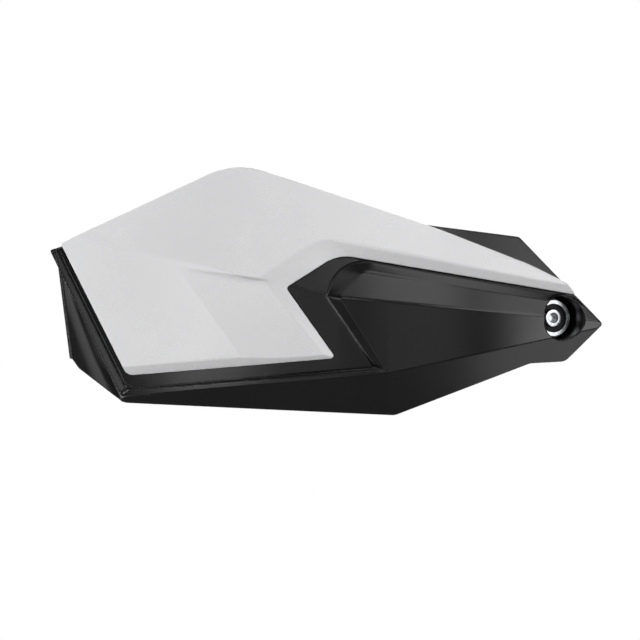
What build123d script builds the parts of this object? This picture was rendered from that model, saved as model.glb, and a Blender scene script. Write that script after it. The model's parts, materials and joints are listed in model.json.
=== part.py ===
from build123d import *
import math
import os

# Hand guard for the right-hand grip, seen from in front of the motorcycle: x runs along the handlebar
# towards the middle of the machine, y back to the rider, z up. The origin is the middle of the clamp bore.
# Front-view points are (x, z). A character line is a row of (x, z, set-back) points.

# Bow of the shell in plan
front_reach = 122.0
plan_radius = 285.0
bow_x = -94.4

# Character lines of the shell, outer end first
outer_x = -262.0
kink_x = -89.4
chin_x = -62.2
inner_x = 60.0
top_line = ((outer_x, 92.0, 11.0), (kink_x, 92.0, 21.0), (inner_x, 50.0, 19.0))
ridge_line = ((outer_x, 48.2, 0.0), (kink_x, 7.5, 0.0), (inner_x, -6.2, 0.0))
low_line = ((outer_x, -52.3, 27.0), (chin_x, -34.7, 11.5), (inner_x, -8.4, 0.7))
bottom_line = ((outer_x, -75.0, 54.0), (chin_x, -62.0, 44.0), (inner_x, -38.0, 34.0))
character_lines = (top_line, ridge_line, low_line, bottom_line)

# Base shell: wall, seat for the cover and outline
shell_wall = 3.0
seat_depth = 4.0
rim_slope_depth = 2.4
brow_slope_depth = 3.0
corner_sharp = 0.4
base_outline = (
    ((-250.3, 33.9), 0.8),
    ((-243.6, 36.1), 0.8),
    ((-146.6, 79.9), 40.0),
    ((-55.5, 49.7), 20.0),
    ((10.8, 41.3), 3.0),
    ((57.6, -7.2), 1.8),
    ((36.6, -28.2), 6.5),
    ((17.0, -29.2), 6.0),
    ((-58.3, -58.1), 8.0),
    ((-209.6, -51.1), 4.0),
)
seat_outline = (
    ((-246.7, 35.0), corner_sharp),
    ((-207.6, -43.8), 6.0),
    ((-68.8, -32.5), 1.5),
    ((-96.6, 8.0), 1.5),
    ((-89.0, 29.6), 19.0),
    ((70.0, 3.0), corner_sharp),
    ((70.0, 120.0), corner_sharp),
    ((-288.9, 120.0), corner_sharp),
)
rim_top = ((-250.3, 33.9), (-246.7, 35.0))
rim_heel = ((-210.6, -47.1), (-207.6, -43.8))
rim_toe = ((-62.9, -34.0), (-68.8, -32.5))
rim_leg = ((-89.4, 7.5), (-96.6, 8.0))
rim_brow = ((-76.6, 21.1), (-89.0, 29.6))
rim_end = ((47.7, 3.3), (50.0, 6.35))
brow_radii = (4.0, 19.0)
corner_steps = 8
hollow_outline = (
    ((-84.6, 5.6), 3.0),
    ((-72.9, 16.9), 6.0),
    ((44.5, 0.2), 3.0),
    ((52.2, -7.4), 1.5),
    ((35.2, -24.6), 4.0),
    ((16.4, -25.6), 6.0),
    ((-58.8, -54.4), 5.0),
    ((-150.0, -50.3), 1.5),
    ((-150.0, -45.6), 1.5),
    ((-57.5, -38.0), 3.0),
)

# Outer wall that wraps back from the rim at the outer end
wrap_reach = 31.0
wrap_wall = 2.6
wrap_hollow = 4.5
wrap_bead = 1.6
wrap_bead_length = 2.4
wrap_top_rim = (-248.6, 33.0)
wrap_top_edge = (-245.6, 33.0)
wrap_low_rim = (-209.6, -51.5)
wrap_low_edge = (-235.0, -51.5)
wrap_outline = (
    ((-260.0, 33.0), 0.5),
    ((-244.0, 36.0), 0.5),
    ((-200.0, 36.0), 0.5),
    ((-200.0, -51.0), 0.5),
    ((-209.8, -50.8), 1.0),
    ((-234.6, -32.0), 5.0),
    ((-238.4, -26.6), 1.0),
    ((-260.0, -26.6), 0.5),
)

# Cover panel
cover_wall = 2.5
cover_proud = 3.0
cover_edge_height = 1.6
cover_seat_gap = 0.1
facet_drop = 1.8
bevel_wall_share = 1.3
cover_outline = (
    ((-244.2, 37.7), 1.0),
    ((-146.6, 82.9), 42.0),
    ((-33.3, 45.2), 150.0),
    ((16.7, 25.8), 60.0),
    ((37.9, 15.3), 1.0),
    ((42.5, 9.0), 0.6),
    ((-89.9, 31.2), 22.0),
    ((-118.8, 12.9), 1.7),
    ((-91.0, -26.2), 1.7),
    ((-207.3, -35.9), 5.5),
)
bevel_notch = ((-99.3, 40.6), (-89.9, 31.2))
bevel_tip = ((36.6, 14.8), (42.5, 9.0))
bevel_apex = ((-134.9, 18.0), (-118.8, 12.9))
bevel_toe = ((-101.3, -22.2), (-91.0, -26.2))
bevel_heel = ((-209.8, -31.1), (-207.3, -35.9))
notch_radii = (18.0, 22.0)
facet_top = (-177.6, 23.9)
facet_foot = (-143.2, -23.9)

# Cover fixings, driven from behind along y
outer_fixing = (-216.0, 20.0)
heel_fixing = (-185.0, -22.0)
peak_fixing = (-146.0, 60.0)
notch_fixing = (-125.0, -12.0)
strip_fixing = (-70.0, 44.0)
inner_fixing = (0.0, 26.5)
fixing_points = (outer_fixing, heel_fixing, peak_fixing, notch_fixing, strip_fixing, inner_fixing)
cover_boss_diameter = 7.6
cover_boss_clearance = 0.2
cover_boss_gap = 0.6
cover_boss_bite = 0.5
pad_diameter = 15.0
pad_height = 2.6
screw_diameter = 4.0
screw_length = 8.0
screw_tip_gap = 0.5
screw_fit = 0.02
screw_head_diameter = 7.6
screw_head_height = 2.8
screw_head_slope = 1.1
screw_drive = 2.5
screw_drive_depth = 1.4
screw_washer_diameter = 12.0
screw_washer_thickness = 1.0

# Stiffening ribs behind the seat, from fixing to fixing
rib_width = 2.2
rib_height = 5.0
rib_lines = (
    (outer_fixing, peak_fixing),
    (peak_fixing, strip_fixing),
    (strip_fixing, inner_fixing),
    (outer_fixing, notch_fixing),
    (peak_fixing, notch_fixing),
    (heel_fixing, notch_fixing),
)

# Guard bolt, its recess and the pieces round it; depths run along the bolt from the shell's face
recess_point = (36.4, -3.9)
bolt_turn = 25.0
recess_diameter = 24.5
recess_wall = 2.6
recess_floor = 4.0
ring_depth = 15.0
cup_diameter = 20.0
cup_bore = 16.0
cup_height = 7.0
cup_floor = 1.4
bolt_diameter = 6.0
bolt_head_diameter = 10.0
bolt_head_height = 5.6
bolt_hex = 5.0
bolt_hex_depth = 3.2
bolt_length = 18.0
bolt_clearance = 0.2
grommet_height = 3.0
grommet_clearance = 0.15
sleeve_diameter = 10.6
sleeve_clearance = 0.1
insert_diameter = 9.0
insert_length = 13.5
insert_fit = 0.02

# Mounting arm and handlebar clamp
bar_diameter = 22.2
bar_fit = 0.02
shim_wall = 3.2
shim_fit = 0.03
clamp_wall = 5.5
clamp_width = 24.0
clamp_split = 1.6
shim_lip = 1.5
shim_lip_height = 1.8
lug_offset = 22.5
lug_reach = 6.5
lug_thickness = 12.0
lug_corner = 4.0
clamp_bolt_diameter = 6.0
clamp_bolt_clearance = 0.2
clamp_head_diameter = 10.0
clamp_head_height = 6.0
clamp_hex = 5.0
clamp_hex_depth = 3.0
clamp_washer_diameter = 12.0
clamp_washer_thickness = 1.6
nut_flats = 10.0
nut_height = 5.0
nut_clearance = 0.1
arm_boss_diameter = 26.0
arm_boss_length = 16.0
arm_neck_diameter = 22.0
arm_root_width = 18.0
arm_root_height = 30.0
arm_root_depth = 12.0

# Reaches of cutting tools past what they cut
far = 60.0
run_out = 9.0
slope_lead = 0.05
slope_overrun = 0.25

# Worked-out sizes
shell_back = seat_depth + shell_wall
recess_depth = ring_depth + cup_height
cup_floor_depth = recess_depth - cup_floor
arm_seat = recess_depth + recess_floor
clamp_bore_radius = bar_diameter / 2 + bar_fit + shim_wall + shim_fit
clamp_radius = clamp_bore_radius + clamp_wall
clamp_bolt_heights = (-lug_offset, lug_offset)


def bow(x):
    return (x - bow_x) ** 2 / (2 * plan_radius) - front_reach


def on_line(line, x):
    for start, end in zip(line, line[1:]):
        if x <= end[0] or end is line[-1]:
            share = (x - start[0]) / (end[0] - start[0])
            return start[1] + share * (end[1] - start[1]), start[2] + share * (end[2] - start[2])


def depth_at(x, z):
    for upper, lower in zip(character_lines, character_lines[1:]):
        upper_z, upper_back = on_line(upper, x)
        lower_z, lower_back = on_line(lower, x)
        if z >= lower_z or lower is character_lines[-1]:
            share = (upper_z - z) / (upper_z - lower_z)
            return bow(x) + upper_back + share * (lower_back - upper_back)


# A parabola over the front-view line from p to q, set distances behind the shell's face at its two ends
def bowed_edge(p, q, offset_p, offset_q):
    middle = ((p[0] + q[0]) / 2, (p[1] + q[1]) / 2)
    depth_p = depth_at(*p) + offset_p
    depth_q = depth_at(*q) + offset_q
    depth_m = depth_at(*middle) + (offset_p + offset_q) / 2
    pull = 2 * depth_m - (depth_p + depth_q) / 2
    return Bezier((p[0], depth_p, p[1]), (middle[0], pull, middle[1]), (q[0], depth_q, q[1]))


def bowed_strip(p, q, front, back_p, back_q):
    near = bowed_edge(p, q, front, front)
    behind = bowed_edge(p, q, back_p, back_q)
    return make_face([near, Line(near @ 1, behind @ 1), behind, Line(behind @ 0, near @ 0)])


# Everything between two offsets of the shell's face, lofted from one character line to the next
def layer(front, back):
    stations = (outer_x, kink_x, chin_x, inner_x)
    plates = []
    for upper, lower in zip(character_lines, character_lines[1:]):
        for start, end in zip(stations, stations[1:]):
            strips = []
            for line in (upper, lower):
                p = (start, on_line(line, start)[0])
                q = (end, on_line(line, end)[0])
                strips.append(bowed_strip(p, q, front, back, back))
            plates.append(loft(strips, ruled=True))
    return plates[0].fuse(*plates[1:])


def front_prism(outline, front_y, back_y, inset=0.0):
    points = [point for point, radius in outline]
    radii = [radius for point, radius in outline]
    face = make_face(FilletPolyline(*points, radius=radii, close=True))
    if inset > 0:
        face = offset(face, -inset)
    return extrude(Plane.XZ.offset(-front_y) * face, amount=front_y - back_y)


def beyond(p, q, length):
    run = math.dist(p, q)
    return tuple(b + (b - a) * length / run for a, b in zip(p, q))


# Cutters in front of a run of sloping faces. Each station is a pair of front-view points, high and low, and
# has its own offset at the low point. The faces run on above their high points and below their low ones, and
# past the run's two ends as far as asked.
def slope_cuts(stations, high, lows, run_start, run_end):
    cuts = []
    for place in range(len(stations) - 1):
        start, end = stations[place:place + 2]
        before = run_start if place == 0 else 0
        after = run_end if place == len(stations) - 2 else 0
        strips = []
        for share in (-slope_lead, 1 + slope_overrun):
            first = tuple(a + share * (b - a) for a, b in zip(*start))
            last = tuple(a + share * (b - a) for a, b in zip(*end))
            p = beyond(last, first, before)
            q = beyond(first, last, after)
            offsets = [high + share * (low - high) for low in lows[place:place + 2]]
            strips.append(bowed_strip(p, q, -far, *offsets))
        cuts.append(loft(strips, ruled=True))
    return cuts


# Pairs of high and low points from start to end, with the corner between them rounded in short steps
def rounded_corner(start, corner, end, radii):
    rounds = []
    for side, radius in enumerate(radii):
        path = FilletPolyline(start[side], corner[side], end[side], radius=radius)
        arc = path.edges().filter_by(GeomType.CIRCLE)[0]
        stops = [arc @ (step / corner_steps) for step in range(corner_steps + 1)]
        rounds.append([(stop.X, stop.Y) for stop in stops])
    return [start, *zip(*rounds), end]


def y_cylinder(point, radius, front_y, back_y):
    disc = Plane.XZ.offset(-front_y) * Pos(*point) * Circle(radius)
    return extrude(disc, amount=front_y - back_y)


def bolt_plane(depth):
    turn = math.radians(bolt_turn)
    axis = Vector(math.sin(turn), -math.cos(turn), 0)
    face = Vector(recess_point[0], depth_at(*recess_point), recess_point[1])
    return Plane(origin=face - axis * depth, x_dir=(0, 0, 1), z_dir=axis)


# A cylinder along the guard bolt between two depths
def bolt_cylinder(radius, start, end):
    return extrude(bolt_plane(start) * Circle(radius), amount=start - end)


def bolt_tube(outer, inner, start, end):
    return bolt_cylinder(outer, start, end) - bolt_cylinder(inner, start, end)


def pad_face(point):
    return depth_at(*point) + shell_back + pad_height


def rib(start, end):
    run = math.dist(start, end)
    turn = math.degrees(math.atan2(end[1] - start[1], end[0] - start[0]))
    middle = ((start[0] + end[0]) / 2, (start[1] + end[1]) / 2)
    strip = Plane.XZ * Pos(*middle) * Rot(0, 0, turn) * Rectangle(run, rib_width)
    return extrude(strip, amount=front_reach + far, both=True)


# One thin, hollow section of the outer wall, with a bead along its rear edge
def wrap_section(rim, edge):
    rim_y = depth_at(*rim)
    edge_y = rim_y + wrap_reach
    mid_x = (rim[0] + edge[0]) / 2 + wrap_hollow
    mid_y = (rim_y + edge_y) / 2
    bead_y = edge_y - wrap_bead_length
    outside = ThreePointArc((rim[0], rim_y), (mid_x, mid_y), (edge[0], bead_y))
    inner_edge = (edge[0] + wrap_wall, edge_y)
    inner_rim = (rim[0] + wrap_wall, rim_y)
    inside = ThreePointArc(inner_edge, (mid_x + wrap_wall, mid_y), inner_rim)
    bead = Polyline(
        outside @ 1,
        (edge[0] - wrap_bead, bead_y),
        (edge[0] - wrap_bead, edge_y),
        inside @ 0,
    )
    return Pos(0, 0, rim[1]) * make_face([outside, bead, inside, Line(inside @ 1, outside @ 0)])


def wrap_wall_part():
    top = wrap_section(wrap_top_rim, wrap_top_edge)
    low = wrap_section(wrap_low_rim, wrap_low_edge)
    return loft([top, low], ruled=True) & front_prism(wrap_outline, -front_reach, 0)


def base_shell():
    outline = front_prism(base_outline, -front_reach - far, 0)
    shell = layer(0, shell_back) & outline
    shell -= layer(shell_wall, far) & front_prism(hollow_outline, -front_reach - far, 0)
    recess_tube = bolt_cylinder(recess_diameter / 2 + recess_wall, 0, arm_seat)
    shell += recess_tube & layer(shell_wall / 2, far) & outline
    shell -= layer(-far, seat_depth) & front_prism(seat_outline, -front_reach - far, 0)
    brow = rounded_corner(rim_leg, rim_brow, rim_end, brow_radii)
    fall = (brow_slope_depth - rim_slope_depth) / corner_steps
    brow_lows = [rim_slope_depth + step * fall for step in range(corner_steps + 1)]
    lows = 4 * [rim_slope_depth] + brow_lows + [brow_slope_depth]
    for cut in slope_cuts([rim_top, rim_heel, rim_toe, *brow], 0, lows, run_out, run_out):
        shell -= cut
    shell += wrap_wall_part()
    backing = layer(shell_back - shell_wall / 2, shell_back + rib_height)
    for start, end in rib_lines:
        shell += backing & rib(start, end)
    behind_seat = layer(seat_depth + shell_wall / 2, far)
    for point in fixing_points:
        shell += y_cylinder(point, pad_diameter / 2, -front_reach, pad_face(point)) & behind_seat
    for point in fixing_points:
        boss_room = cover_boss_diameter / 2 + cover_boss_clearance
        shell -= y_cylinder(point, boss_room, -front_reach - far, pad_face(point))
        shell -= y_cylinder(point, pad_diameter / 2 + rib_width, pad_face(point), 0)
    shell -= bolt_cylinder(recess_diameter / 2, -far, recess_depth)
    shell -= bolt_cylinder(sleeve_diameter / 2 + sleeve_clearance, 0, arm_seat)
    return shell


# Cuts the sunken facet beside the notch out of a face at this offset
def facet_cut(front):
    facet = [(facet_top, bevel_apex[0]), (facet_foot, bevel_toe[0])]
    return slope_cuts(facet, front, 2 * [front + facet_drop], 0, run_out)


# The cover's outer form, or with an inset the room inside it
def cover_form(inset):
    front = inset - cover_proud
    back = seat_depth - cover_seat_gap
    edge = back - cover_edge_height + bevel_wall_share * inset
    dropped = front + facet_drop
    form = layer(front, back + inset * 2) & front_prism(cover_outline, -front_reach - far, 0, inset)
    notch = rounded_corner(bevel_tip, bevel_notch, bevel_apex, notch_radii)
    cuts = slope_cuts(notch, front, len(notch) * [edge], run_out, 0)
    cuts += slope_cuts([bevel_apex, bevel_toe], dropped, [edge, edge], 0, run_out)
    cuts += slope_cuts([bevel_toe, bevel_heel], front, [edge, edge], run_out, run_out)
    for cut in cuts + facet_cut(front):
        form -= cut
    return form


def cover_panel():
    cover = cover_form(0) - cover_form(cover_wall)
    boss_front = cover_wall - cover_proud - cover_boss_bite
    behind_face = layer(boss_front, far) - facet_cut(boss_front)
    for point in fixing_points:
        boss_end = pad_face(point) - cover_boss_gap
        cover += y_cylinder(point, cover_boss_diameter / 2, -front_reach, boss_end) & behind_face
    for point in fixing_points:
        boss_end = pad_face(point) - cover_boss_gap
        pilot_end = pad_face(point) + screw_washer_thickness - screw_length - screw_tip_gap
        cover -= y_cylinder(point, screw_diameter / 2 + screw_fit, pilot_end, boss_end)
    return cover


def y_hexagon(point, flats, front_y, back_y):
    outline = Plane.XZ.offset(-front_y) * Pos(*point) * RegularPolygon(flats / 2, 6, major_radius=False)
    return extrude(outline, amount=front_y - back_y)


def cover_screw(point):
    head_seat = pad_face(point) + screw_washer_thickness
    head_end = head_seat + screw_head_height
    head = y_cylinder(point, screw_head_diameter / 2, head_seat, head_end)
    rim = head.edges().filter_by(GeomType.CIRCLE).sort_by(Axis.Y)[-1]
    head = chamfer(rim, screw_head_slope)
    screw = head + y_cylinder(point, screw_diameter / 2, head_seat - screw_length, head_seat)
    return screw - y_hexagon(point, screw_drive, head_end - screw_drive_depth, head_end)


def cover_washer(point):
    seat = pad_face(point)
    washer = y_cylinder(point, screw_washer_diameter / 2, seat, seat + screw_washer_thickness)
    hole = screw_diameter / 2 + cover_boss_clearance
    return washer - y_cylinder(point, hole, seat, seat + screw_washer_thickness)


def guard_bolt():
    head_top = cup_floor_depth - bolt_head_height
    bolt = bolt_cylinder(bolt_head_diameter / 2, head_top, cup_floor_depth)
    bolt += bolt_cylinder(bolt_diameter / 2, cup_floor_depth, cup_floor_depth + bolt_length)
    socket = bolt_plane(head_top) * RegularPolygon(bolt_hex / 2, 6, major_radius=False)
    return bolt - extrude(socket, amount=-bolt_hex_depth)


def bolt_cup():
    cup = bolt_cylinder(cup_diameter / 2, ring_depth, recess_depth)
    cup -= bolt_cylinder(cup_bore / 2, ring_depth, cup_floor_depth)
    return cup - bolt_cylinder(bolt_diameter / 2 + bolt_clearance, ring_depth, recess_depth)


def bolt_grommet():
    outer = cup_bore / 2 - grommet_clearance
    inner = bolt_head_diameter / 2 + grommet_clearance
    return bolt_tube(outer, inner, cup_floor_depth - grommet_height, cup_floor_depth)


def bolt_sleeve():
    return bolt_tube(sleeve_diameter / 2, bolt_diameter / 2 + bolt_clearance, recess_depth, arm_seat)


def arm_insert():
    return bolt_tube(insert_diameter / 2, bolt_diameter / 2 + insert_fit, arm_seat, arm_seat + insert_length)


def half_space(side):
    middle = side * (far + clamp_split / 2)
    return Pos(0, middle, 0) * Box(2 * far, 2 * far, 2 * far)


# The clamp's section across the bar, run along the bar; the same block is split into its two halves
def clamp_block():
    lugs = RectangleRounded(2 * lug_thickness, 2 * (lug_offset + lug_reach), lug_corner)
    section = Circle(clamp_radius) + lugs
    return extrude(Plane.YZ * section, amount=clamp_width / 2, both=True)


def clamp_holes():
    bore = extrude(Plane.YZ * Circle(clamp_bore_radius), amount=far, both=True)
    holes = [bore]
    for z in clamp_bolt_heights:
        holes.append(y_cylinder((0, z), clamp_bolt_diameter / 2 + clamp_bolt_clearance, -far / 2, far / 2))
        nut_pocket = nut_flats + 2 * nut_clearance
        holes.append(y_hexagon((0, z), nut_pocket, -far / 2, nut_height - lug_thickness))
    return holes


def mounting_arm():
    neck_start = bolt_plane(arm_seat + arm_boss_length / 2) * Circle(arm_neck_diameter / 2)
    root_plane = Plane(origin=(0, -arm_root_depth, 0), x_dir=(0, 0, 1), z_dir=(0, -1, 0))
    root = root_plane * Ellipse(arm_root_height / 2, arm_root_width / 2)
    arm = bolt_cylinder(arm_boss_diameter / 2, arm_seat, arm_seat + arm_boss_length)
    arm += loft([neck_start, root])
    arm += clamp_block() & half_space(-1)
    for hole in clamp_holes():
        arm -= hole
    insert_end = arm_seat + insert_length + insert_fit
    return arm - bolt_cylinder(insert_diameter / 2 + insert_fit, arm_seat, insert_end)


def clamp_cap():
    cap = clamp_block() & half_space(1)
    for hole in clamp_holes():
        cap -= hole
    return cap


def clamp_washer(z):
    end = lug_thickness + clamp_washer_thickness
    washer = y_cylinder((0, z), clamp_washer_diameter / 2, lug_thickness, end)
    return washer - y_cylinder((0, z), clamp_bolt_diameter / 2 + clamp_bolt_clearance, lug_thickness, end)


def clamp_bolt(z):
    head_seat = lug_thickness + clamp_washer_thickness
    head_end = head_seat + clamp_head_height
    bolt = y_cylinder((0, z), clamp_head_diameter / 2, head_seat, head_end)
    bolt += y_cylinder((0, z), clamp_bolt_diameter / 2, -lug_thickness, head_seat)
    return bolt - y_hexagon((0, z), clamp_hex, head_end - clamp_hex_depth, head_end)


def clamp_nut(z):
    nut = y_hexagon((0, z), nut_flats, -lug_thickness, nut_height - lug_thickness)
    thread = clamp_bolt_diameter / 2 + insert_fit
    return nut - y_cylinder((0, z), thread, -lug_thickness, nut_height - lug_thickness)


# A half liner with a lip at each end that keeps it in the clamp
def bar_shim(side):
    inner = bar_diameter / 2 + bar_fit
    outer = inner + shim_wall
    half_width = clamp_width / 2 + shim_fit
    section = Polyline(
        (-half_width - shim_lip, inner),
        (half_width + shim_lip, inner),
        (half_width + shim_lip, outer + shim_lip_height),
        (half_width, outer + shim_lip_height),
        (half_width, outer),
        (-half_width, outer),
        (-half_width, outer + shim_lip_height),
        (-half_width - shim_lip, outer + shim_lip_height),
        close=True,
    )
    return revolve(make_face(section), Axis.X) & half_space(side)


pieces = {
    "base_shell": base_shell(),
    "cover_panel": cover_panel(),
    "cover_screws": Compound([cover_screw(point) for point in fixing_points]),
    "cover_screw_washers": Compound([cover_washer(point) for point in fixing_points]),
    "guard_bolt": guard_bolt(),
    "bolt_cup": bolt_cup(),
    "bolt_grommet": bolt_grommet(),
    "bolt_sleeve": bolt_sleeve(),
    "arm_insert": arm_insert(),
    "mounting_arm": mounting_arm(),
    "clamp_cap": clamp_cap(),
    "clamp_bolts": Compound([clamp_bolt(z) for z in clamp_bolt_heights]),
    "clamp_washers": Compound([clamp_washer(z) for z in clamp_bolt_heights]),
    "clamp_nuts": Compound([clamp_nut(z) for z in clamp_bolt_heights]),
    "bar_shim_front": bar_shim(-1),
    "bar_shim_rear": bar_shim(1),
}

os.makedirs("parts", exist_ok=True)
for name, piece in pieces.items():
    export_step(piece, f"parts/{name}.step")
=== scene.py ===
import json
import math

import bmesh
import bpy
import numpy as np
from mathutils import Euler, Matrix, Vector
from mathutils.bvhtree import BVHTree
from mathutils.interpolate import poly_3d_calc


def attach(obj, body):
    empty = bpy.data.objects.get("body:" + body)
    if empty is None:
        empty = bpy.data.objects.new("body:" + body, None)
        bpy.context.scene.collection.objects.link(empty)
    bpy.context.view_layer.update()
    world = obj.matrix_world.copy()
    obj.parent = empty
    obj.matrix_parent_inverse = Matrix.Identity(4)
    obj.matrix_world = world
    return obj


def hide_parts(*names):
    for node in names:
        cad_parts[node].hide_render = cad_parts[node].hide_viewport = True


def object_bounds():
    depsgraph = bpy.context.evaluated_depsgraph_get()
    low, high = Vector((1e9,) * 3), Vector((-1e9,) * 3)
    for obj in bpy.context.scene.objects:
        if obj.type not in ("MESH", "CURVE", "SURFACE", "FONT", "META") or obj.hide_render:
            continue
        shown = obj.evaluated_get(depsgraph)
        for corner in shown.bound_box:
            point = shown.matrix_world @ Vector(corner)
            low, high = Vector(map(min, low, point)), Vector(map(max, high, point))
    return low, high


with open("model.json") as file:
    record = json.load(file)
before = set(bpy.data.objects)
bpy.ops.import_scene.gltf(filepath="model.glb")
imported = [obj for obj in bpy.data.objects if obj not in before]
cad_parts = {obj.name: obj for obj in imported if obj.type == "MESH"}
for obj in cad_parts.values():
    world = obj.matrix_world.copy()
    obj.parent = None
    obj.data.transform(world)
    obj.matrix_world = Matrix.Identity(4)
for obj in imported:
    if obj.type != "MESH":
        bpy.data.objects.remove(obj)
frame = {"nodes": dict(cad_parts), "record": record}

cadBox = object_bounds()
nodes = frame["nodes"]
slots = {part["node"]: part["material_slot"] for part in frame["record"]["subparts"]}
mm = 0.001  # the frame is in metres, sizes below are in millimetres


def hexToLinear(code):  # sRGB hex to the linear colour that shaders take
    channels = [int(code[place:place + 2], 16) / 255 for place in (0, 2, 4)]
    linear = [c / 12.92 if c <= 0.04045 else ((c + 0.055) / 1.055) ** 2.4 for c in channels]
    return (*linear, 1.0)


def addNode(tree, kind, inputs=None, **settings):  # one node, its settings and what feeds it
    node = tree.nodes.new("ShaderNode" + kind)
    for name, value in settings.items():
        setattr(node, name, value)
    for name, value in (inputs or {}).items():
        if isinstance(value, bpy.types.NodeSocket):
            tree.links.new(value, node.inputs[name])
        else:
            node.inputs[name].default_value = value
    return node


def newMaterial(name):
    material = bpy.data.materials.new(name)
    material.use_nodes = True
    material.node_tree.nodes.clear()
    return material, material.node_tree


def perMm(size):  # texture scale for a pattern that repeats over this many millimetres
    return 1.0 / (size * mm)


mouldGrain = {"detail": 3.0, "grainRoughness": 0.6, "sheenSpan": (0.1, 0.42)}


# injection moulding: one colour through and through, a fine eroded grain that breaks up the gloss,
# and broad faint flow marks that shift colour and sheen across the piece
def mouldedPlastic(name, finish):
    material, tree = newMaterial(name)
    place = addNode(tree, "TexCoord").outputs["Object"]
    flow = addNode(tree, "TexNoise", {
        "Vector": place, "Scale": perMm(finish["flowMm"]), "Detail": mouldGrain["detail"]})
    grain = addNode(tree, "TexNoise", {
        "Vector": place, "Scale": perMm(finish["grainMm"]), "Detail": mouldGrain["detail"],
        "Roughness": mouldGrain["grainRoughness"]})
    pits = addNode(tree, "TexVoronoi", {"Vector": place, "Scale": perMm(finish["pitMm"])})
    colour = addNode(tree, "Mix", {
        0: flow.outputs["Fac"], 6: hexToLinear(finish["shade"]), 7: hexToLinear(finish["colour"])},
        data_type="RGBA")
    sheen = addNode(tree, "Math", {
        0: flow.outputs["Fac"], 1: grain.outputs["Fac"]}, operation="MULTIPLY")
    least, most = mouldGrain["sheenSpan"]
    low, high = finish["roughness"]
    gloss = addNode(tree, "MapRange", {
        "Value": sheen.outputs[0], "From Min": least, "From Max": most,
        "To Min": low, "To Max": high})
    relief = addNode(tree, "Math", {
        0: grain.outputs["Fac"], 1: pits.outputs["Distance"]}, operation="MULTIPLY")
    bump = addNode(tree, "Bump", {
        "Height": relief.outputs[0], "Strength": finish["bump"],
        "Distance": finish["depthMm"] * mm})
    shader = addNode(tree, "BsdfPrincipled", {
        "Base Color": colour.outputs[2], "Roughness": gloss.outputs[0], "IOR": finish["ior"],
        "Normal": bump.outputs["Normal"]})
    addNode(tree, "OutputMaterial", {"Surface": shader.outputs["BSDF"]})
    return material


metalHaze = {"detail": 5.0, "hazeSpan": (0.3, 0.7), "edgeSamples": 4}


# plated or turned metal: a mirror softened by a fine haze, a patchy spangle, and edges worn round
def platedMetal(name, finish):
    material, tree = newMaterial(name)
    place = addNode(tree, "TexCoord").outputs["Object"]
    spangle = addNode(tree, "TexVoronoi", {"Vector": place, "Scale": perMm(finish["spangleMm"])})
    haze = addNode(tree, "TexNoise", {
        "Vector": place, "Scale": perMm(finish["hazeMm"]), "Detail": metalHaze["detail"]})
    colour = addNode(tree, "Mix", {
        0: spangle.outputs["Distance"], 6: hexToLinear(finish["colour"]),
        7: hexToLinear(finish["shade"])}, data_type="RGBA")
    least, most = metalHaze["hazeSpan"]
    low, high = finish["roughness"]
    gloss = addNode(tree, "MapRange", {
        "Value": haze.outputs["Fac"], "From Min": least, "From Max": most,
        "To Min": low, "To Max": high})
    rounded = addNode(tree, "Bevel", {"Radius": finish["edgeMm"] * mm},
                      samples=metalHaze["edgeSamples"])
    bump = addNode(tree, "Bump", {
        "Height": haze.outputs["Fac"], "Strength": finish["bump"],
        "Distance": finish["depthMm"] * mm, "Normal": rounded.outputs["Normal"]})
    shader = addNode(tree, "BsdfPrincipled", {
        "Base Color": colour.outputs[2], "Roughness": gloss.outputs[0], "Metallic": 1.0,
        "Normal": bump.outputs["Normal"]})
    addNode(tree, "OutputMaterial", {"Surface": shader.outputs["BSDF"]})
    return material


# white polypropylene from a satin mould: soft even light with a low sheen
# grain and pits of a mould are near 0.1 mm, and are drawn coarser here and below so that they show
coverFinish = {"colour": "EDEDEE", "shade": "E8E8EA", "flowMm": 60.0, "grainMm": 0.9, "pitMm": 0.8,
               "roughness": (0.24, 0.32), "bump": 0.05, "depthMm": 0.02, "ior": 1.49}
# black polypropylene from a finely blasted mould: deep black that picks up broad soft reflections
shellFinish = {"colour": "121213", "shade": "0E0E0F", "flowMm": 45.0, "grainMm": 0.7, "pitMm": 0.6,
               "roughness": (0.21, 0.28), "bump": 0.05, "depthMm": 0.02, "ior": 1.49}
# black nylon filled with glass fibre: fibres at the skin leave it dull and slightly mottled
nylonFinish = {"colour": "1E1E1F", "shade": "151516", "flowMm": 14.0, "grainMm": 0.9, "pitMm": 0.5,
               "roughness": (0.42, 0.60), "bump": 0.5, "depthMm": 0.05, "ior": 1.53}
# unfilled grey nylon: paler and a little waxier than the arm
linerFinish = {"colour": "343537", "shade": "2B2C2E", "flowMm": 12.0, "grainMm": 0.8, "pitMm": 0.6,
               "roughness": (0.36, 0.5), "bump": 0.3, "depthMm": 0.04, "ior": 1.53}
# press-moulded rubber: soot black, nearly without gloss
rubberFinish = {"colour": "141414", "shade": "0D0D0D", "flowMm": 6.0, "grainMm": 0.5, "pitMm": 0.4,
                "roughness": (0.6, 0.8), "bump": 0.6, "depthMm": 0.05, "ior": 1.52}
# bright zinc plate on steel: cool silver, crisp highlights; its crystals are drawn coarser
zincFinish = {"colour": "C9CBCE", "shade": "A9ACB0", "spangleMm": 1.6, "hazeMm": 0.5,
              "roughness": (0.16, 0.28), "bump": 0.08, "depthMm": 0.01, "edgeMm": 0.25}
# turned brass: warm yellow with a light tool haze, drawn coarser than real
brassFinish = {"colour": "CFA75A", "shade": "B08A43", "spangleMm": 1.2, "hazeMm": 0.4,
               "roughness": (0.18, 0.34), "bump": 0.12, "depthMm": 0.02, "edgeMm": 0.2}

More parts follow.
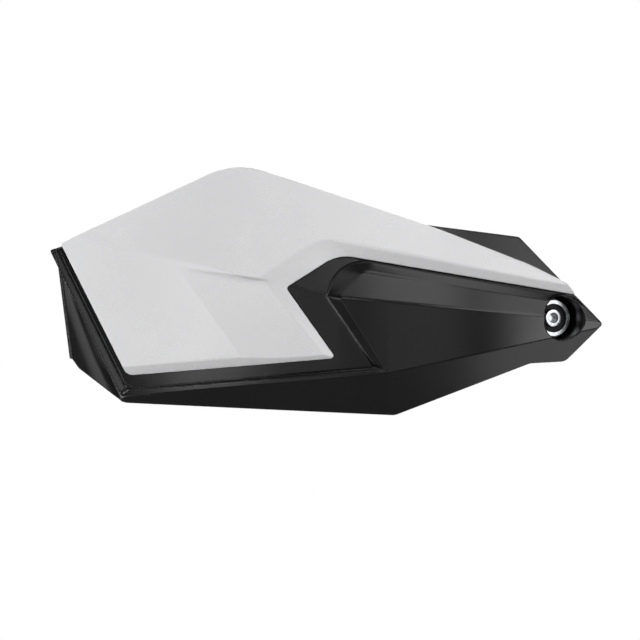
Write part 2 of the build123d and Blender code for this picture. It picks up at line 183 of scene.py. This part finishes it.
slotMaterials = {
    "shell_plastic": mouldedPlastic("blackMouldedPolypropylene", shellFinish),
    "cover_plastic": mouldedPlastic("whiteSatinPolypropylene", coverFinish),
    "arm_nylon": mouldedPlastic("glassFilledNylon", nylonFinish),
    "shim_nylon": mouldedPlastic("greyLinerNylon", linerFinish),
    "grommet_rubber": mouldedPlastic("blackGrommetRubber", rubberFinish),
    "zinc_steel": platedMetal("brightZincPlatedSteel", zincFinish),
    "insert_brass": platedMetal("turnedBrass", brassFinish),
}
for node, slot in slots.items():
    nodes[node].data.materials.clear()
    nodes[node].data.materials.append(slotMaterials[slot])
print("materials on", len(nodes), "nodes")


def addPiece(name, node, mesh):  # the piece stands for a CAD node and takes its finish
    mesh.materials.clear()
    mesh.materials.append(slotMaterials[slots[node]])
    piece = bpy.data.objects.new(name, mesh)
    bpy.context.scene.collection.objects.link(piece)
    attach(piece, "root")
    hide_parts(node)
    print(name, len(mesh.polygons), "faces")


# a moulding has no knife edges: the solid is remeshed finely, its edges are relaxed to a small
# radius and its flat areas thinned out again; elsewhere the solid's own normals keep the bow smooth
def evaluated(name, mesh, modifiers):
    draft = bpy.data.objects.new(name, mesh)
    bpy.context.scene.collection.objects.link(draft)
    for kind, settings in modifiers:
        modifier = draft.modifiers.new(kind.lower(), kind)
        for setting, value in settings.items():
            setattr(modifier, setting, value)
    graph = bpy.context.evaluated_depsgraph_get()
    result = bpy.data.meshes.new_from_object(draft.evaluated_get(graph))
    bpy.data.objects.remove(draft)
    return result


def smoothStep(low, high, values):
    share = np.clip((values - low) / (high - low), 0.0, 1.0)
    return share * share * (3.0 - 2.0 * share)


def vertexArray(mesh, normals=False):
    values = np.empty(len(mesh.vertices) * 3, np.float32)
    if normals:
        mesh.vertex_normals.foreach_get("vector", values)
    else:
        mesh.vertices.foreach_get("co", values)
    return values.reshape(-1, 3).astype(np.float64)


def moveVertices(mesh, points):
    mesh.vertices.foreach_set("co", points.astype(np.float32).ravel())
    mesh.update()


def surfaceTree(mesh):  # for rays and nearest points, with the corners of its triangles
    mesh.calc_loop_triangles()
    corners = [vertex.co for vertex in mesh.vertices]
    triangles = [tuple(triangle.vertices) for triangle in mesh.loop_triangles]
    return BVHTree.FromPolygons(corners, triangles), corners, triangles


frontRay = {"startY": -0.3, "direction": Vector((0.0, 1.0, 0.0))}  # starts ahead of the guard


def frontHit(tree, x, z):  # what a ray from the front meets: spot, normal, face and distance
    return tree.ray_cast(Vector((x, frontRay["startY"], z)), frontRay["direction"])


def fromLine(points, start, end):  # distance from a line seen from the front, and share along it
    along = np.array((end[0] - start[0], end[1] - start[1])) * mm
    offset = points[:, (0, 2)] - np.array(start[:2]) * mm
    share = np.clip(offset @ along / (along @ along), 0.0, 1.0)
    return np.linalg.norm(offset - share[:, None] * along, axis=1), share


softLine = {"fade": (1.2, 2.6), "spread": 2.0, "pull": 0.5}  # fade in times the reach


def softenLines(mesh, lines, voxel, front):  # relaxes edges along lines, on sides facing the front
    points = vertexArray(mesh)
    facing = smoothStep(*front, -vertexArray(mesh, normals=True)[:, 1])
    reach = np.zeros(len(points))
    for start, end in lines:
        distance, share = fromLine(points, start, end)
        width = (start[2] + share * (end[2] - start[2])) * mm
        reach = np.maximum(reach, width * (1.0 - smoothStep(*softLine["fade"], distance / width)))
    steps = int(math.ceil((softLine["spread"] * reach.max() / voxel) ** 2))
    weight = facing * (softLine["spread"] * reach / voxel) ** 2 / steps
    edges = np.empty(len(mesh.edges) * 2, np.int32)
    mesh.edges.foreach_get("vertices", edges)
    edges = edges.reshape(-1, 2)
    edges = edges[(weight > 0.0)[edges].any(axis=1)]
    used, local = np.unique(edges, return_inverse=True)
    first, second = local.reshape(-1, 2).T
    spots, pull = points[used], softLine["pull"] * weight[used, None]
    total = len(used)
    count = np.bincount(first, minlength=total) + np.bincount(second, minlength=total)
    for step in range(steps):
        sums = [np.bincount(first, spots[second, axis], total) +
                np.bincount(second, spots[first, axis], total) for axis in range(3)]
        spots += pull * (np.stack(sums, axis=1) / count[:, None] - spots)
    points[used] = spots
    moveVertices(mesh, points)


def frontDepths(node, places):  # depth of a node seen from the front, empty where it is missed
    tree = surfaceTree(nodes[node].data)[0]
    hits = [frontHit(tree, x, z)[0] for x, z in places]
    return np.array([np.nan if hit is None else hit.y for hit in hits])


# the slope under the cover's strip, between the edge of the face below it and the cover
stripBand = {
    "fromMm": -80.0, "toMm": 46.0, "columns": 127, "fadeInMm": 9.0, "fadeOutMm": 4.0,
    "edgeMm": 9.32, "edgeSlope": -0.165,  # height of the lower edge at x = 0, and its slope
    "searchMm": (1.0, 12.0, 0.1), "leastSteps": 20,  # heights tried above it to find the cover
    "wholeMm": 18.0, "fitColumns": 40, "blurColumns": 7, "belowMm": 0.5,  # where the face is read
    "riseMm": 4.0, "deepestMm": 9.0, "facing": -0.2,
    "lowFade": (0.0, 0.15), "highFade": (0.84, 0.98),  # shares of the band's height
    "recessMm": (35.8, -3.9), "recessRadii": (12.4, 12.6), "recessFade": (1.0, 1.14),
}


def bandLines(band):  # columns across the band, its two edges and the depth of the face below it
    across = np.linspace(band["fromMm"] * mm, band["toMm"] * mm, band["columns"])
    edge = band["edgeMm"] * mm + band["edgeSlope"] * across
    heights = np.arange(*band["searchMm"]) * mm
    places = [(x, z + rise) for x, z in zip(across, edge) for rise in heights]
    seen = np.isfinite(frontDepths("cover_panel", places)).reshape(len(across), -1)
    first = seen.argmax(axis=1)
    found = first > band["leastSteps"]
    top = edge + np.polyval(np.polyfit(across[found], heights[first[found]], 2), across)
    below = [(x, z - band["belowMm"] * mm) for x, z in zip(across, edge)]
    face = frontDepths("base_shell", below)
    whole = across < band["wholeMm"] * mm  # columns clear of the bolt's recess
    last = slice(-band["fitColumns"], None)
    beyond = np.polyval(np.polyfit(across[whole][last], face[whole][last], 2), across)
    face = np.where(whole, face, beyond)
    blur = band["blurColumns"]
    face = np.convolve(np.pad(face, blur // 2, mode="edge"), np.ones(blur) / blur, mode="valid")
    return across, edge, top, face


def fillBand(mesh, band):  # brings the band forward, to a gentle slope between face and cover
    points = vertexArray(mesh)
    across, edge, top, face = bandLines(band)
    x, y, z = points.T
    low, high = np.interp(x, across, edge), np.interp(x, across, top)
    share = (z - low) / (high - low)
    level = np.interp(x, across, face) + share * band["riseMm"] * mm
    start, end = band["fromMm"] * mm, band["toMm"] * mm
    pull = smoothStep(start, start + band["fadeInMm"] * mm, x)
    pull *= smoothStep(-end, band["fadeOutMm"] * mm - end, -x)
    centre, reach = np.array(band["recessMm"]) * mm, np.array(band["recessRadii"]) * mm
    clear = np.linalg.norm((points[:, (0, 2)] - centre) / reach, axis=1)
    pull *= smoothStep(*band["recessFade"], clear)
    pull *= smoothStep(*band["lowFade"], share) * (1.0 - smoothStep(*band["highFade"], share))
    behind = (share > 0.0) & (share < 1.0) & (y > level) & (y < level + band["deepestMm"] * mm)
    behind &= vertexArray(mesh, normals=True)[:, 1] < band["facing"]
    points[behind, 1] += (pull * (level - y))[behind]
    moveVertices(mesh, points)
    print("band filled at", int(behind.sum()), "points")


# own normals win where they turn away from the solid's by this angle, or lie this far from it
normalBlend = {"degrees": (2.0, 7.0), "apartMm": (0.2, 0.5), "shortest": 0.5}
stepShade = {"reachMm": (0.9, 1.4), "besideMm": 1.5, "facing": 0.3}  # besideMm is where it looks


def unit(vectors):
    return vectors / np.linalg.norm(vectors, axis=1)[:, None]


def calmStep(mesh, shading, tree, lines):  # a low step is shaded like what adjoins it
    spots = vertexArray(mesh)
    near = np.min([fromLine(spots, *line)[0] for line in lines], axis=0) / mm
    ahead = vertexArray(mesh, normals=True)[:, 1] < stepShade["facing"]
    gap = stepShade["besideMm"] * mm
    for index in np.flatnonzero((near < stepShade["reachMm"][1]) & ahead):
        x, _, z = spots[index]
        beside = [frontHit(tree, x, height)[1] for height in (z + gap, z - gap)]
        calm = np.sum([np.array(side) * -np.sign(side.y) for side in beside if side], axis=0)
        keep = smoothStep(*stepShade["reachMm"], near[index])
        shading[index] = shading[index] * keep + calm / np.linalg.norm(calm) * (1.0 - keep)


def keepSolidNormals(mesh, solid, calmLines):
    tree, corners, triangles = surfaceTree(solid)
    loops = [tuple(triangle.loops) for triangle in solid.loop_triangles]
    exact = [corner.vector.copy() for corner in solid.corner_normals]
    own = vertexArray(mesh, normals=True)
    kept, apart = np.empty_like(own), np.empty(len(own))
    for index, vertex in enumerate(mesh.vertices):
        spot, _, face, apart[index] = tree.find_nearest(vertex.co)
        weights = poly_3d_calc([corners[corner] for corner in triangles[face]], spot)
        parts = (share * exact[loop] for share, loop in zip(weights, loops[face]))
        kept[index] = sum(parts, Vector())
    lengths = np.linalg.norm(kept, axis=1)  # a sliver triangle has no usable normal
    usable = np.isfinite(lengths) & (lengths > normalBlend["shortest"])
    kept = unit(np.where(usable[:, None], kept, own))
    angle = np.degrees(np.arccos(np.clip((own * kept).sum(axis=1), -1.0, 1.0)))
    turned = smoothStep(*normalBlend["degrees"], angle)
    moved = smoothStep(*normalBlend["apartMm"], apart / mm)
    share = np.maximum(turned, moved)[:, None]
    shading = unit(kept * (1.0 - share) + own * share)
    if calmLines:
        calmStep(mesh, shading, tree, calmLines)
    mesh.normals_split_custom_set_from_vertices(shading.tolist())


# the solid is turned before it is remeshed, so that no long edge runs along the voxels and steps
gridTurn = Euler([math.radians(turn) for turn in (27, 34, 19)]).to_matrix().to_4x4()
smoothShare = 0.5  # how far each round moves a point to the middle of its neighbours


def softenedSkin(name, node, skin):
    voxel = skin["voxelMm"] * mm
    solid = nodes[node].data
    turned = solid.copy()
    turned.transform(gridTurn)
    mesh = evaluated(name, turned, [
        ("REMESH", {"mode": "VOXEL", "voxel_size": voxel}),
        ("SMOOTH", {"factor": smoothShare, "iterations": skin["rounds"]})])
    mesh.transform(gridTurn.inverted())
    if "band" in skin:
        fillBand(mesh, skin["band"])
    if "softLines" in skin:
        softenLines(mesh, skin["softLines"], voxel, skin["facing"])
    ratio = min(1.0, skin["triangles"] / (2.0 * len(mesh.polygons)))  # two triangles to a quad
    mesh = evaluated(name, mesh, [("DECIMATE", {"ratio": ratio})])
    mesh.polygons.foreach_set("use_smooth", [True] * len(mesh.polygons))
    keepSolidNormals(mesh, solid, skin.get("calmLines", ()))
    addPiece(name, node, mesh)


coverSkin = {
    "voxelMm": 0.5, "rounds": 4, "triangles": 150000, "facing": (0.72, 0.84),
    "softLines": (  # x, z and reach of each end
        ((-232.0, 41.1, 6.0), (-190.0, 31.2, 2.0)),  # crease, fading out to the left
        ((-190.0, 31.2, 2.0), (-168.0, 26.0, 0.5)),
        ((-176.0, 20.8, 1.2), (-143.2, -23.3, 2.2)),  # left side of the sunk facet
        ((-206.0, -30.8, 1.2), (-101.3, -22.2, 1.0)),  # bottom bevel
        ((-133.0, 17.0, 0.9), (-102.5, -21.0, 0.9)),  # bevels of the notch
        ((-133.0, 19.0, 0.9), (-104.0, 37.5, 1.2)),
        ((-90.0, 40.5, 1.2), (30.0, 16.5, 0.9)),  # bevel of the strip
    ),
    "calmLines": (  # top of the sunk facet
        ((-175.0, 23.6), (-134.9, 18.0)),
        ((-134.9, 18.0), (-120.5, 13.7)),
    ),
}
shellSkin = {
    "voxelMm": 0.5, "rounds": 5, "triangles": 180000, "facing": (-0.1, 0.2), "band": stripBand,
    "softLines": (
        ((-212.5, -48.5, 1.2), (-206.5, -42.5, 1.0)),  # rim's lower left corner
        ((-91.0, 8.3, 1.4), (-82.0, 15.0, 1.6)),  # left end of the band
        ((-89.0, 7.4, 0.9), (20.0, -3.0, 0.9)),  # ridge above the face
        ((-74.0, 25.0, 1.3), (26.0, 9.0, 1.3)),  # band under the strip
    ),
}
armSkin = {"voxelMm": 0.4, "rounds": 5, "triangles": 40000}
capSkin = {"voxelMm": 0.4, "rounds": 5, "triangles": 24000}
shimSkin = {"voxelMm": 0.3, "rounds": 3, "triangles": 16000}
softenedSkin("cover_skin", "cover_panel", coverSkin)
softenedSkin("shell_skin", "base_shell", shellSkin)
softenedSkin("arm_skin", "mounting_arm", armSkin)
softenedSkin("cap_skin", "clamp_cap", capSkin)
softenedSkin("shim_front_skin", "bar_shim_front", shimSkin)
softenedSkin("shim_rear_skin", "bar_shim_rear", shimSkin)


# socket screws turned on the places of the CAD ones: a hexagon socket with a lead-in, a rounded
# crown, and on cap heads the rolled knurl that such heads have
screwTrim = {"leadShare": 0.985, "leadMm": 0.12, "leadDepthMm": 0.45, "knurlGapMm": 0.15,
             "seatMm": 0.35, "tipMm": 0.8, "creaseDegrees": 32, "nearMm": 12.0, "thickShare": 0.9}


def screwAxes(node, spots):  # head end, direction and length of each screw of a node
    points = vertexArray(nodes[node].data)
    axes = []
    for x, z in spots:
        away = np.hypot(points[:, 0] - x * mm, points[:, 2] - z * mm)
        near = points[away < screwTrim["nearMm"] * mm]
        middle = near.mean(axis=0)
        direction = np.linalg.eigh(np.cov((near - middle).T))[1][:, -1]
        along = (near - middle) @ direction
        radius = np.linalg.norm(near - middle - along[:, None] * direction, axis=1)
        if along[radius > screwTrim["thickShare"] * radius.max()].mean() > 0.0:  # the head end
            direction, along = -direction, -along
        axes.append((middle + along.min() * direction, direction, along.max() - along.min()))
    return axes


def screwRings(form, turns):  # radii and depth of each ring, from the socket's floor to the shank
    crown, head, shank = form["crownMm"], form["headMm"] / 2, form["shankMm"] / 2
    height, seat = form["headHeightMm"], screwTrim["seatMm"]
    hexagon = form["hexMm"] / 2 / np.cos(turns % (math.pi / 3) - math.pi / 6)
    mouth = np.maximum(hexagon, hexagon.max() * screwTrim["leadShare"]) + screwTrim["leadMm"]
    knurl = form["knurlMm"] * (0.5 - 0.5 * np.cos(form["ridges"] * turns))
    flat = np.ones_like(turns)
    rings = [(hexagon, form["hexDepthMm"]), (hexagon, screwTrim["leadDepthMm"]), (mouth, 0.0)]
    for step in range(form["crownSteps"] + 1):
        lean = math.pi / 2 * step / form["crownSteps"]
        radius = head - crown * (1.0 - math.sin(lean))
        rings.append((flat * radius, crown * (1.0 - math.cos(lean))))
    return rings + [(head - knurl, crown + screwTrim["knurlGapMm"]), (head - knurl, height - seat),
                    (flat * (head - seat), height), (flat * shank, height)]


def socketScrews(name, node, spots, form):
    count = form["segments"]
    turns = 2.0 * math.pi * np.arange(count) / count
    flat, shank, tip = np.ones_like(turns), form["shankMm"] / 2, screwTrim["tipMm"]
    vertices, faces = [], []
    for start, direction, length in screwAxes(node, spots):
        side = np.cross(direction, (0.0, 0.0, 1.0))
        side /= np.linalg.norm(side)
        lift = np.cross(side, direction)
        shape = screwRings(form, turns)
        shape += [(flat * shank, length / mm - tip), (flat * (shank - tip), length / mm)]
        base = len(vertices)
        for radius, depth in shape:
            ring = start + depth * mm * direction + mm * radius[:, None] * (
                np.cos(turns)[:, None] * side + np.sin(turns)[:, None] * lift)
            vertices += ring.tolist()
        faces.append([base + place for place in range(count)])
        for row in range(len(shape) - 1):
            first = base + row * count
            for place in range(count):
                here, after = first + place, first + (place + 1) % count
                faces.append([here, here + count, after + count, after])
        last = base + (len(shape) - 1) * count
        faces.append([last + count - 1 - place for place in range(count)])
    mesh = bpy.data.meshes.new(name)
    mesh.from_pydata(vertices, [], faces)
    model = bmesh.new()
    model.from_mesh(mesh)
    bmesh.ops.recalc_face_normals(model, faces=model.faces)
    for face in model.faces:
        face.smooth = True
    for edge in model.edges:
        edge.smooth = edge.calc_face_angle(0.0) < math.radians(screwTrim["creaseDegrees"])
    model.to_mesh(mesh)
    model.free()
    addPiece(name, node, mesh)


capHead = {"segments": 144, "headMm": 10.0, "headHeightMm": 6.0, "crownMm": 0.7, "crownSteps": 4,
           "shankMm": 6.0, "hexMm": 5.0, "hexDepthMm": 3.0, "ridges": 36, "knurlMm": 0.22}
guardHead = {**capHead, "headHeightMm": 5.6, "hexDepthMm": 4.2, "crownMm": 0.6}
buttonHead = {"segments": 96, "headMm": 7.6, "headHeightMm": 2.8, "crownMm": 1.4, "crownSteps": 7,
              "shankMm": 4.0, "hexMm": 2.5, "hexDepthMm": 1.4, "ridges": 0, "knurlMm": 0.0}
guardPlace = ((26.0, -3.9),)  # x and z of each screw
clampPlaces = ((0.0, -22.5), (0.0, 22.5))
coverPlaces = ((-216.0, 20.0), (-185.0, -22.0), (-146.0, 60.0), (-125.0, -12.0), (-70.0, 44.0),
               (0.0, 26.5))
socketScrews("guard_screw", "guard_bolt", guardPlace, guardHead)
socketScrews("clamp_screws", "clamp_bolts", clampPlaces, capHead)
socketScrews("cover_buttons", "cover_screws", coverPlaces, buttonHead)


# pale studio: a floor well below the guard, soft boxes round it and an even white surround; floor
# and surround glow for the camera alone, so that the black plastic mirrors only the soft boxes
studio = {"floorDrop": 3.0, "floorSize": 14.0, "floorColour": "E8E8E8", "floorGlow": 0.8,
          "floorRoughness": 0.8, "surroundColour": "FFFFFF", "surround": 1.0, "fill": 0.01,
          "focus": (-0.10, -0.09, 0.0), "lightDistance": 1.3}
paperTooth = {"toothMm": 1.5, "detail": 3.0, "bump": 0.1, "depthMm": 0.1}  # coarser than real paper
softBoxes = {  # azimuth from the front, positive to the right, elevation, side length and watts
    "leftRearBox": (-112, -10, 0.6, 0.9),
    "leftUnderBox": (-92, -40, 0.6, 5.6),
    "leftBox": (-78, 10, 0.6, 6.0),
    "leftHighBox": (-54, 34, 0.5, 1.5),
    "leftTopBox": (-36, 52, 0.5, 0.5),
    "leftLowBox": (-36, -21, 0.5, 2.0),
    "lowBox": (-12, -40, 0.5, 0.5),
    "frontBox": (0, -2, 0.4, 1.0),
    "topBox": (0, 39, 0.6, 1.1),
    "rightHighBox": (26, 34, 0.5, 1.9),
    "rightLowBox": (20, -28, 0.5, 0.5),
    "rightFrontBox": (54, 18, 0.5, 2.3),
    "rightSideBox": (57, -22, 0.5, 2.8),
    "boltBox": (51, 0, 0.34, 1.0),
    "bandBox": (54, 56, 0.6, 2.2),
    "bevelBox": (34, 3, 0.4, 1.4),
    "rightUnderBox": (111, -46, 0.8, 1.9),
    "overBox": (0, 86, 0.6, 0.5),
    "backTopBox": (180, 50, 1.2, 5.0),
    "backLeftBox": (-160, 20, 1.2, 9.0),
    "backRightBox": (155, 15, 1.2, 11.0),
    "backLowBox": (178, -25, 1.0, 5.0),
}


# matt paper sweep: pale and even, with a faint tooth
def addFloor():
    half = studio["floorSize"] / 2
    height = cadBox[0][2] - studio["floorDrop"]  # below the guard's lowest point
    corners = [(x * half, y * half, height) for x, y in ((-1, -1), (1, -1), (1, 1), (-1, 1))]
    mesh = bpy.data.meshes.new("floor")
    mesh.from_pydata(corners, [], [(0, 1, 2, 3)])
    floor = bpy.data.objects.new("floor", mesh)
    bpy.context.scene.collection.objects.link(floor)
    material, tree = newMaterial("palePaperFloor")
    place = addNode(tree, "TexCoord").outputs["Object"]
    tooth = addNode(tree, "TexNoise", {
        "Vector": place, "Scale": perMm(paperTooth["toothMm"]), "Detail": paperTooth["detail"]})
    bump = addNode(tree, "Bump", {
        "Height": tooth.outputs["Fac"], "Strength": paperTooth["bump"],
        "Distance": paperTooth["depthMm"] * mm})
    seen = addNode(tree, "LightPath").outputs["Is Camera Ray"]
    glow = addNode(tree, "MapRange", {"Value": seen, "To Min": 0.0, "To Max": studio["floorGlow"]})
    colour = hexToLinear(studio["floorColour"])
    shader = addNode(tree, "BsdfPrincipled", {
        "Base Color": colour, "Roughness": studio["floorRoughness"],
        "Normal": bump.outputs["Normal"], "Emission Color": colour,
        "Emission Strength": glow.outputs[0]})
    addNode(tree, "OutputMaterial", {"Surface": shader.outputs["BSDF"]})
    mesh.materials.append(material)


def addLights():
    focus = Vector(studio["focus"])
    for name, (azimuth, elevation, side, watts) in softBoxes.items():
        across, up = math.radians(azimuth), math.radians(elevation)
        level = math.cos(up)
        aim = Vector((math.sin(across) * level, -math.cos(across) * level, math.sin(up)))
        lamp = bpy.data.lights.new(name, "AREA")
        lamp.shape = "SQUARE"
        lamp.size, lamp.energy = side, watts
        light = bpy.data.objects.new(name, lamp)
        light.location = focus + studio["lightDistance"] * aim
        light.rotation_euler = (-aim).to_track_quat("-Z", "Y").to_euler()
        bpy.context.scene.collection.objects.link(light)


def addSurround():
    world = bpy.data.worlds.new("studioSurround")
    world.use_nodes = True
    tree = world.node_tree
    tree.nodes.clear()
    seen = addNode(tree, "LightPath").outputs["Is Camera Ray"]
    level = addNode(tree, "MapRange", {
        "Value": seen, "To Min": studio["fill"], "To Max": studio["surround"]})
    glow = addNode(tree, "Background", {
        "Color": hexToLinear(studio["surroundColour"]), "Strength": level.outputs[0]})
    addNode(tree, "OutputWorld", {"Surface": glow.outputs["Background"]})
    bpy.context.scene.world = world
    bpy.context.scene.view_settings.view_transform = "Standard"


# long lens from straight in front; 640 pixels span 355 mm at the guard's face
viewFrame = {"middle": (-0.0999, -0.005), "faceY": -0.10, "distance": 9.0, "spanMm": 355.2,
             "sensor": 36.0}


def addCamera():
    lens = bpy.data.cameras.new("frontCamera")
    lens.sensor_width = viewFrame["sensor"]
    lens.lens = viewFrame["sensor"] * viewFrame["distance"] / (viewFrame["spanMm"] * mm)
    camera = bpy.data.objects.new("frontCamera", lens)
    x, z = viewFrame["middle"]
    camera.location = (x, viewFrame["faceY"] - viewFrame["distance"], z)
    camera.rotation_euler = (math.radians(90), 0, 0)
    bpy.context.scene.collection.objects.link(camera)
    bpy.context.scene.camera = camera


addFloor()
addLights()
addSurround()
addCamera()
print("studio")
